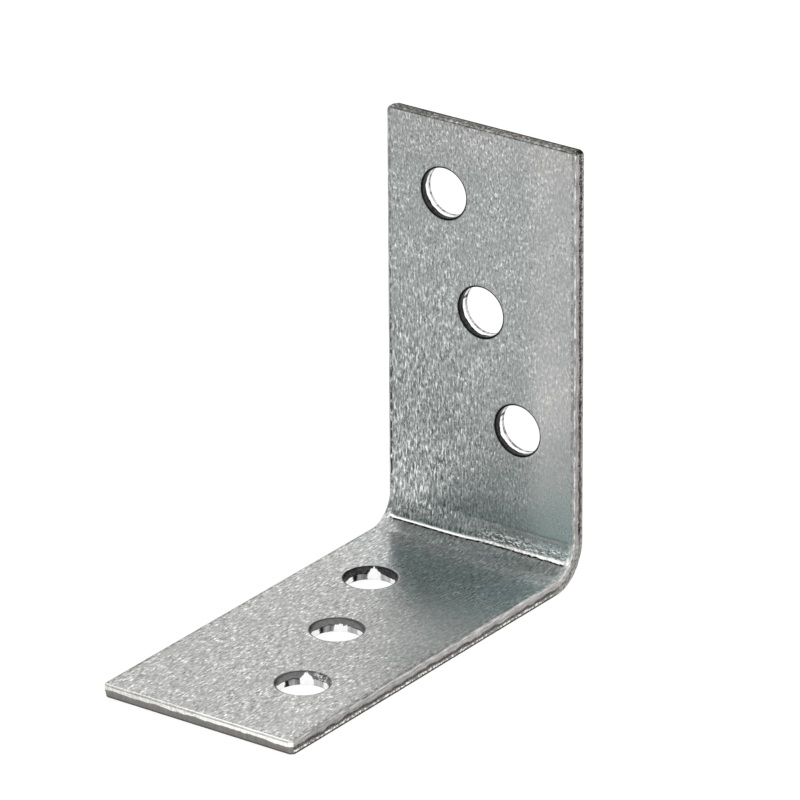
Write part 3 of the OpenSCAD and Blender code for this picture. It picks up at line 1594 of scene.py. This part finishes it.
@dataclass(frozen=True)
class ToolLine:
    """The burnished line that the bending tool's nose leaves, partly painted as a highlight, and
    what lies beside it, with painted shade.

    Places and spans of the line's parts are in millimetres up the bend from the line's middle. The
    other numbers are shares of the brightness that the line gives or takes.
    """

    wobble: Grain = Grain(1.7, rough=0.5)
    chips: Grain = Grain(3.2)
    bumps: Grain = Grain(2.3, (1.0, 1.5, 1.0), rough=0.65)
    mouth_fade: Span = (-0.1, -0.5)
    left_wobble: float = 0.1
    crushed_wobble: float = 0.16
    left_half_width: float = 0.1
    right_half_width_more: float = 0.09

    # The rubbed line: real burnish painted brighter as a highlight, and painted glints on the
    # crumpled part:
    lower_rim: Span = (-0.03, 0.03)
    upper_rim: Span = (0.08, -0.02)
    breaks: Span = (0.45, 0.52)
    break_less: float = 0.5
    crushed_less: float = 0.4
    rough_start: Span = (0.05, 0.3)
    rough_end: Span = (1.5, 0.7)
    glints: Span = (0.48, 0.56)
    glint_tone: float = 0.8

    # Painted shade below the line, in the crumpled part, on the bend's flanks and on the tilted
    # part:
    shadow_offset: float = 0.1
    shadow_width: Span = (0.15, 0.07)
    shadow_chips: Span = (0.4, 0.5)
    hollows: Span = (0.46, 0.38)
    hollow_dark: float = 0.6
    ridge_start: Span = (0.1, 0.2)
    ridge_end: Span = (0.75, 0.5)
    ridge_bumps: float = 0.8
    ridge_dark: float = 0.35
    ridge_chips: float = 0.9
    shoulder_place: float = 1.25
    shoulder_width: Span = (0.2, 0.08)
    shoulder_chips: Span = (0.5, 0.58)
    shoulder_dark: float = 0.3
    band_start: Span = (0.3, 0.6)
    band_end: Span = (2.3, 1.7)
    band_bumps: float = 0.9
    right_band_dark: float = 0.06
    lower_start: Span = (-3.2, -1.7)
    lower_end: Span = (-0.1, -0.3)
    lower_dark: float = 0.14
    lower_side: Span = (-1.0, 7.5)
    lower_side_dark: float = 0.3
    fold_place: float = 0.42
    fold_width: Span = (0.26, 0.12)
    fold_chips: Span = (0.4, 0.52)
    fold_dark: float = 0.5
    tilt_start: Span = (1.2, 1.6)
    tilt_end: Span = (2.5, 2.0)
    tilt_dark: float = 0.02
    tilt_side: Span = (0.4, 1.0)
    tilt_side_dark: float = 0.3

    soft_start: Span = (-0.1, 0.5)
    soft_end: Span = (1.8, 0.5)
    crumple_chips: float = 0.5
    crumple_height: float = 60.0

    def beside(self, place: StripPlace, mark: ToolMark) -> BesideLine:
        """Finds where a point lies beside the line, which wobbles and climbs where it is crushed.

        Args:
            place: Where the point lies on the strip.
            mark: The sizes of the tool's mark.

        Returns:
            The point's place beside the line.
        """
        mouth = mark.mouth(place.blank)
        rightward = place.across.rise((-mouth, mouth))
        crushed = rightward.rise(mark.crush)
        wobble = place.grain(self.wobble).sway(crushed * self.crushed_wobble + self.left_wobble)
        off = place.past_middle - crushed * mark.climb + wobble
        return BesideLine(
            rightward=rightward,
            crushed=crushed,
            off=off,
            half_width=rightward * self.right_half_width_more + self.left_half_width,
            rough=off.between(self.rough_start, self.rough_end) * crushed,
            chips=place.grain(self.chips),
            bumps=place.grain(self.bumps),
        )

    def rubbed(self, at: BesideLine) -> Signal:
        """How bright the line is: steel rubbed bare by the tool and painted brighter as a highlight,
        with painted glints on the crumpled part.

        Args:
            at: Where a point lies beside the line.

        Returns:
            A value from 0 to 1.
        """
        lower = (at.off + at.half_width).rise(self.lower_rim)
        line = lower * (at.off - at.half_width).rise(self.upper_rim)
        breaks = at.chips.rise(self.breaks) * self.break_less + self.crushed_less
        glints = at.bumps.rise(self.glints) * at.rough * self.glint_tone
        return (line * (1.0 - at.crushed * breaks)).high(glints)

    def folds(self, at: BesideLine) -> Signal:
        """How dark the painted shade is: a painted shadow below the line, and painted shade in the
        hollows, ridge, shoulder and folds of the crumpled part above it.

        Args:
            at: Where a point lies beside the line.

        Returns:
            A value from 0 to 1.
        """
        shadow = abs(at.off + at.half_width + self.shadow_offset).rise(self.shadow_width)
        shadow = shadow * at.chips.rise(self.shadow_chips)
        hollows = at.bumps.rise(self.hollows) * at.rough * self.hollow_dark
        ridge = at.off.rise(self.ridge_start)
        ridge = ridge * (at.off + at.bumps.sway(self.ridge_bumps)).rise(self.ridge_end)
        ridge = ridge * (at.chips.sway(self.ridge_chips) + self.ridge_dark)
        shoulder = abs(at.off - self.shoulder_place).rise(self.shoulder_width)
        shoulder = shoulder * at.chips.rise(self.shoulder_chips) * at.crushed
        fold = abs(at.off - self.fold_place).rise(self.fold_width)
        fold = fold * at.chips.rise(self.fold_chips) * at.crushed
        painted_shade = shadow.high(hollows).high(ridge)
        return painted_shade.high(shoulder * self.shoulder_dark).high(fold * self.fold_dark)

    def painted_shade(self, place: StripPlace, at: BesideLine) -> Signal:
        """How much painted shade darkens the surface beside the line: the shadow and folds, a darker
        band above the line, the lower flank and the tilted part.

        Args:
            place: Where a point lies on the strip.
            at: Where it lies beside the line.

        Returns:
            A value from 0 to 1.
        """
        band = at.bumps.sway(self.band_bumps) + at.rightward * self.right_band_dark
        band = band * at.off.between(self.band_start, self.band_end)
        lower = place.across.rise(self.lower_side) * self.lower_side_dark + self.lower_dark
        lower = lower * at.off.between(self.lower_start, self.lower_end)
        tilt = at.rightward.rise(self.tilt_side) * self.tilt_side_dark + self.tilt_dark
        tilt = tilt * at.off.between(self.tilt_start, self.tilt_end)
        return (self.folds(at).high(band).high(lower) + tilt).low(1.0)

    def crumple(self, at: BesideLine) -> Signal:
        """Height of the crumpled part, in bump heights.

        Args:
            at: Where a point lies beside the line.

        Returns:
            The height.
        """
        lumps = at.bumps.sway(1.0) + at.chips.sway(self.crumple_chips)
        soft = at.off.between(self.soft_start, self.soft_end) * at.crushed
        return lumps * soft * self.crumple_height

    def make(self, place: StripPlace, mark: ToolMark) -> tuple[Signal, Signal, Signal]:
        """The line's look inside the mark's ends.

        Args:
            place: Where a point lies on the strip.
            mark: The sizes of the tool's mark.

        Returns:
            How bright the rubbed line with its painted highlight is, how much painted shade darkens
            the surface, and its crumpled height.
        """
        at = self.beside(place, mark)
        from_mouth = abs(place.across) - mark.mouth(place.blank)
        inside = from_mouth.rise(self.mouth_fade) * place.on_face
        return self.rubbed(at) * inside, self.painted_shade(place, at) * inside, self.crumple(at) * inside


@dataclass(frozen=True)
class GalvanisedSteel:
    """Hot-dip galvanised sheet: zinc on the faces, and bare steel on the cuts."""

    face: ZincFace = ZincFace()
    sides: LongSides = LongSides()
    foot_end: FootEnd = FootEnd()
    upright_end: UprightEnd = UprightEnd()
    walls: HoleWalls = HoleWalls()
    line: ToolLine = ToolLine()
    steel: Colour = (1.0, 0.985, 0.965)
    torn_steel: Colour = (1.0, 0.965, 0.91)
    punched_steel: Colour = (1.0, 1.0, 1.0)
    glancing: Colour = (0.7, 0.7, 0.7)
    torn_rise: Span = (-0.05, 0.05)
    foot_end_dull: float = 0.6
    face_roughness: float = 0.36
    foot_roughness: float = 0.25
    foot_haze: float = 0.17
    foot_haze_part: Span = (-3.0, -15.0)
    bend_haze: float = 0.14
    bend_haze_part: Span = (-5.0, -2.0)
    bend_haze_side: Span = (-4.0, 6.0)
    bright_gloss: float = 0.08
    cut_roughness: float = 0.3
    torn_roughness: float = 0.5
    bump_height: float = 0.000003

    def cut_colour(self, place: StripPlace, torn: Signal) -> Signal:
        """Colour of the bare steel on the sides, ends and hole walls.

        Args:
            place: Where a point lies on the strip.
            torn: Whether it lies on the break, from 0 to 1.

        Returns:
            The colour.
        """
        sheet = place.sheet
        rim = sheet.mix(place.on_foot_end, self.sides.tone(place), self.foot_end.tone(place))
        rim = sheet.mix(place.on_upright_end, rim, self.upright_end.tone(place))
        tone = sheet.mix(place.in_hole, rim, self.walls.tone(place))
        dull = torn.high(place.on_upright_end).high(place.on_foot_end * self.foot_end_dull)
        steel = sheet.blend(dull, self.steel, self.torn_steel)
        steel = sheet.blend(place.in_hole, steel, self.punched_steel)
        return sheet.dim(steel, tone.high(0.0).low(1.0))

    def roughness(self, place: StripPlace, tone: Signal, torn: Signal) -> Signal:
        """How dull the surface is: the flat leg is glossier than the upright one near the bend.

        Args:
            place: Where a point lies on the strip.
            tone: Brightness of the zinc.
            torn: Whether the point lies on the break, from 0 to 1.

        Returns:
            The roughness.
        """
        bent = place.past_middle.rise(self.bend_haze_part) * place.across.rise(self.bend_haze_side)
        foot = place.along.rise(self.foot_haze_part) * self.foot_haze + bent * self.bend_haze
        face = place.sheet.mix(place.on_foot, self.face_roughness, foot + self.foot_roughness)
        face = face - (tone - 1.0) * self.bright_gloss
        cut = place.sheet.mix(torn, self.cut_roughness, self.torn_roughness)
        return place.sheet.mix(place.on_cut, face, cut)

    def make(self, blank: SheetBlank, mark: ToolMark) -> bpy.types.Material:
        """Builds the material.

        Args:
            blank: The sizes of the strip that it goes on.
            mark: The sizes of the bending tool's mark.

        Returns:
            The material.
        """
        sheet = NodeSheet(bpy.data.materials.new("galvanised_steel"))
        place = StripPlace(sheet, blank)
        # the crease's painted shade darkens the zinc's brightness
        tone = self.face.tone(place) * (1.0 - self.face.crease(place))
        # the tool line: rubbed steel with a painted highlight, painted shade beside it, and the
        # crumpled height
        rubbed, painted_shade, crumple = self.line.make(place, mark)
        face = sheet.dim(self.face.colour(place), tone * (1.0 - painted_shade))
        face = sheet.blend(rubbed, face, self.steel)
        torn = (place.depth - blank.cut.land_depth).rise(self.torn_rise)
        normal = sheet.node(
            "ShaderNodeBump",
            {},
            {"Strength": 1.0, "Distance": self.bump_height, "Height": tone + crumple},
        )
        surface = sheet.node(
            "ShaderNodeBsdfPrincipled",
            {},
            {
                "Base Color": sheet.blend(place.on_cut, face, self.cut_colour(place, torn)),
                "Metallic": 1.0,
                "Roughness": self.roughness(place, tone, torn),
                "Normal": normal,
                "Specular Tint": self.glancing,
            },
        )
        return sheet.finish(surface)


def looking(azimuth: float, elevation: float) -> Vector:
    """Direction away from the bracket.

    Args:
        azimuth: Degrees to the right of straight in front.
        elevation: Degrees above the table.

    Returns:
        A vector of length 1.
    """
    turn, lift = math.radians(azimuth), math.radians(elevation)
    flat = math.cos(lift)
    return Vector((math.sin(turn) * flat, -math.cos(turn) * flat, math.sin(lift)))


@dataclass(frozen=True)
class LightTable:
    """A plain pale table that is lit from within, so that hardly a shadow falls on it."""

    half_side: float = 3.0
    level: float = -0.00002
    glow: float = 0.9
    glow_colour: Colour = (1.0, 1.0, 1.0)
    colour: Colour = (0.1, 0.1, 0.1)
    roughness: float = 0.9

    def build(self) -> bpy.types.Object:
        """Returns:
            The table's top.
        """
        bpy.ops.object.select_all(action="DESELECT")
        bpy.ops.mesh.primitive_plane_add(size=2.0 * self.half_side, location=(0.0, 0.0, self.level))
        top = bpy.context.object
        top.name = "light_table"
        bpy.ops.object.transform_apply(location=True, rotation=True, scale=True)
        sheet = NodeSheet(bpy.data.materials.new("pale_table"))
        surface = sheet.node(
            "ShaderNodeBsdfPrincipled",
            {},
            {
                "Base Color": self.colour,
                "Roughness": self.roughness,
                "Emission Color": self.glow_colour,
                "Emission Strength": self.glow,
            },
        )
        top.data.materials.append(sheet.finish(surface))
        return top


@dataclass(frozen=True)
class Surround:
    """The pale room round the table, with an unlit part that gives the metal its dark tones."""

    lit: Colour = (1.0, 0.99, 0.98)
    unlit: Colour = (0.235, 0.33, 0.33)
    strength: float = 1.33
    azimuth: float = -36.0
    elevation: float = 8.0
    unlit_rise: Span = (0.78, 0.95)

    def build(self) -> bpy.types.World:
        """Makes the surround.

        Returns:
            The world.
        """
        sheet = NodeSheet(bpy.data.worlds.new("soft_surround"))
        towards = sheet.node("ShaderNodeTexCoord", {}, {}, "Generated")
        facing = sheet.node(
            "ShaderNodeVectorMath",
            {"operation": "DOT_PRODUCT"},
            {0: towards, 1: looking(self.azimuth, self.elevation)},
            "Value",
        )
        colour = sheet.blend(facing.rise(self.unlit_rise), self.lit, self.unlit)
        background = sheet.node(
            "ShaderNodeBackground", {}, {"Color": colour, "Strength": self.strength}
        )
        return sheet.finish(background)


@dataclass(frozen=True)
class Studio:
    """The soft light all round and the camera at the photograph's viewing angle."""

    surround: Surround = field(default_factory=Surround)
    azimuth: float = 35.887
    elevation: float = 23.568
    roll: float = -0.35
    distance: float = 679.4
    lens: float = 356.04
    sensor: float = 36.0
    aim: Point = (-8.483, 19.644, 12.638)
    nearest: float = 0.01
    farthest: float = 20.0

    def light(self) -> None:
        """Sets the surround and how brightness is shown."""
        bpy.context.scene.world = self.surround.build()
        bpy.context.scene.view_settings.view_transform = "Standard"
        bpy.context.scene.view_settings.look = "None"

    def place_camera(self) -> bpy.types.Object:
        """Puts the camera where the photograph was taken from.

        Returns:
            The camera.
        """
        back = looking(self.azimuth, self.elevation)
        roll = math.radians(self.roll)
        level = looking(self.azimuth + QUARTER_TURN, 0.0)
        upward = back.cross(level)
        right = level * math.cos(roll) + upward * math.sin(roll)
        above = upward * math.cos(roll) - level * math.sin(roll)
        lens = bpy.data.cameras.new("camera")
        lens.lens = self.lens
        lens.sensor_width = self.sensor
        lens.clip_start = self.nearest
        lens.clip_end = self.farthest
        camera = bpy.data.objects.new("camera", lens)
        bpy.context.scene.collection.objects.link(camera)
        place = (Vector(self.aim) + back * self.distance) * METRES_PER_MM
        turned = Matrix((right, above, back)).transposed().to_4x4()
        camera.matrix_world = Matrix.Translation(place) @ turned
        bpy.context.scene.camera = camera
        return camera


@dataclass
class AngleBracket:
    """The bracket: one strip, cut, punched and bent."""

    blank: SheetBlank = field(default_factory=SheetBlank)
    wear: CutWear = field(default_factory=CutWear)
    mark: ToolMark = field(default_factory=ToolMark)
    brake: PressBrake = field(default_factory=PressBrake)
    finish: GalvanisedSteel = field(default_factory=GalvanisedSteel)
    smooth_angle: float = 32.0

    def build(self) -> bpy.types.Object:
        """Makes the bracket's sheet as a real one is made.

        Returns:
            The finished mesh.
        """
        bench = self.blank.build()
        self.wear.roughen(bench, self.blank)
        self.mark.press(bench, self.blank)
        self.brake.swell_sides(bench, self.blank)
        self.brake.bend(bench, self.blank)
        self.brake.set_down(bench, self.blank)
        bpy.ops.object.shade_smooth_by_angle(angle=math.radians(self.smooth_angle))
        return bench.piece

    def dress(self, piece: bpy.types.Object) -> None:
        """Gives the sheet its finish and its place in the frame.

        Args:
            piece: The finished mesh.
        """
        piece.data.materials.clear()
        piece.data.materials.append(self.finish.make(self.blank, self.mark))
        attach(piece, "root")
        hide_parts("angle_bracket")


def report(piece: bpy.types.Object) -> None:
    """Logs a piece's name and how fine its mesh is."""
    faces = sum(len(face.vertices) - 2 for face in piece.data.polygons)
    LOG.info("%s: %d triangles", piece.name, faces)


def main() -> None:
    """Builds the studio and the bracket, in order."""
    logging.basicConfig(level=logging.INFO, format="%(message)s")
    studio = Studio()
    studio.place_camera()
    studio.light()
    report(LightTable().build())
    bracket = AngleBracket()
    sheet = bracket.build()
    bracket.dress(sheet)
    report(sheet)


if __name__ == "__main__":
    main()
